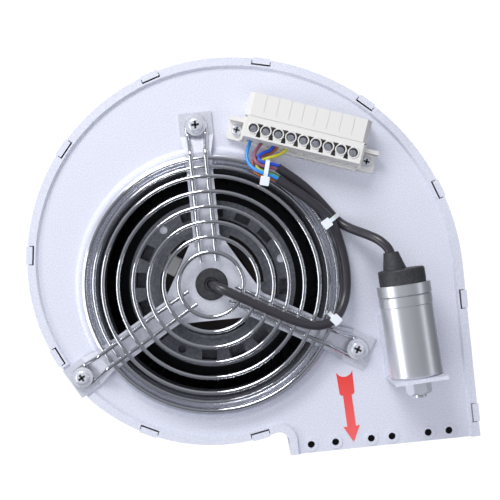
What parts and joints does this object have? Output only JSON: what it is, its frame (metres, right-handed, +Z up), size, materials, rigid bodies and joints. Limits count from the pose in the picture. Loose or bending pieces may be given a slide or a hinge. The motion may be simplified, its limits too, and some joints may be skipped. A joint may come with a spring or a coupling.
{
  "type": "centrifugal blower",
  "caption": "Double-inlet centrifugal blower with a sheet-steel scroll, wire guards, an external-rotor motor in the inlet, a run capacitor and a terminal connector.",
  "frame": {"origin": "on the rotor axis, in the outer face of the front side plate", "axes": "+Y runs from the front side plate to the rear one along the rotor axis, +Z is up and the outlet faces -Z, +X is to the right seen from the front"},
  "size_m": [0.2605, 0.2377, 0.2411],
  "materials": {
    "galvanised_sheet": "satin speckled zinc coat",
    "bracket_steel": "satin zinc coat",
    "chrome_wire": "polished chrome plate",
    "bright_fasteners": "bright zinc plate",
    "cast_aluminium": "as-cast, matt",
    "can_aluminium": "drawn, semi-polished",
    "laminations": "matt",
    "rotor_steel": "dull, dark",
    "impeller_steel": "dull zinc coat",
    "bearing_steel": "ground",
    "copper": "enamelled",
    "contact_brass": "bright",
    "black_rubber": "matt, moulded",
    "cable_sheath": "satin extruded",
    "connector_plastic": "moulded off-white",
    "nylon": "translucent white",
    "light_blue": "extruded",
    "mauve": "extruded",
    "dark_blue": "extruded",
    "brown": "extruded",
    "green_yellow": "extruded, two-colour stripe",
    "winding_film": "metallised film roll",
    "arrow_red": "printed film"
  },
  "bodies": {
    "housing": {"front_side_plate": "galvanised_sheet", "rear_side_plate": "galvanised_sheet", "scroll_wrap": "galvanised_sheet", "motor_bracket": "bracket_steel", "bracket_screws": "bright_fasteners", "bracket_washers": "bright_fasteners", "clinch_nuts": "bright_fasteners", "front_guard": "chrome_wire", "front_guard_low_rings": "chrome_wire", "rear_guard": "chrome_wire", "rear_guard_low_rings": "chrome_wire", "rear_guard_screws": "bright_fasteners", "cable_grommet": "black_rubber", "stator_flange": "cast_aluminium", "flange_nuts": "bright_fasteners", "stator_core": "laminations", "stator_windings": "copper", "thermal_cutout": "connector_plastic", "front_bearing_outer_race": "bearing_steel", "rear_bearing_outer_race": "bearing_steel", "preload_spring": "bearing_steel", "capacitor_can": "can_aluminium", "capacitor_winding": "winding_film", "capacitor_boot": "black_rubber", "capacitor_bracket": "galvanised_sheet", "capacitor_nut": "bright_fasteners", "capacitor_washer": "bright_fasteners", "capacitor_rivets": "bright_fasteners", "connector_base": "connector_plastic", "connector_plug": "connector_plastic", "terminal_screws": "bright_fasteners", "terminal_contacts": "contact_brass", "connector_screws": "bright_fasteners", "motor_cable": "cable_sheath", "capacitor_cable": "cable_sheath", "light_blue_wire": "light_blue", "mauve_wire": "mauve", "dark_blue_wire": "dark_blue", "brown_wire": "brown", "green_yellow_wire": "green_yellow", "wire_tie": "nylon", "branch_tie": "nylon", "lower_tie": "nylon", "direction_arrow": "arrow_red"},
    "rotor": {"shaft": "bearing_steel", "circlip": "bearing_steel", "front_bearing_inner_race": "bearing_steel", "rear_bearing_inner_race": "bearing_steel", "rotor_core": "laminations", "rotor_cage": "cast_aluminium", "rotor_cup": "rotor_steel", "balancing_pins": "bright_fasteners", "impeller_disc": "impeller_steel", "hub_rivets": "bright_fasteners", "front_blades": "impeller_steel", "rear_blades": "impeller_steel", "front_shroud_ring": "impeller_steel", "rear_shroud_ring": "impeller_steel"},
    "front_balls": {"front_bearing_balls": "bearing_steel"},
    "rear_balls": {"rear_bearing_balls": "bearing_steel"}
  },
  "joints": [
    {"name": "rotor_spin", "type": "hinge", "parent": "housing", "child": "rotor", "pos_m": [0, 0.09, 0], "axis": [0, 1, 0], "continuous": true},
    {"name": "front_ball_spin", "type": "hinge", "parent": "housing", "child": "front_balls", "pos_m": [0, 0.0155, 0], "axis": [0, 1, 0], "continuous": true},
    {"name": "rear_ball_spin", "type": "hinge", "parent": "housing", "child": "rear_balls", "pos_m": [0, 0.0595, 0], "axis": [0, 1, 0], "continuous": true}
  ],
  "couplings": [
    {"joint": "front_ball_spin", "follows": "rotor_spin", "ratio": 0.3733},
    {"joint": "rear_ball_spin", "follows": "rotor_spin", "ratio": 0.3733}
  ]
}
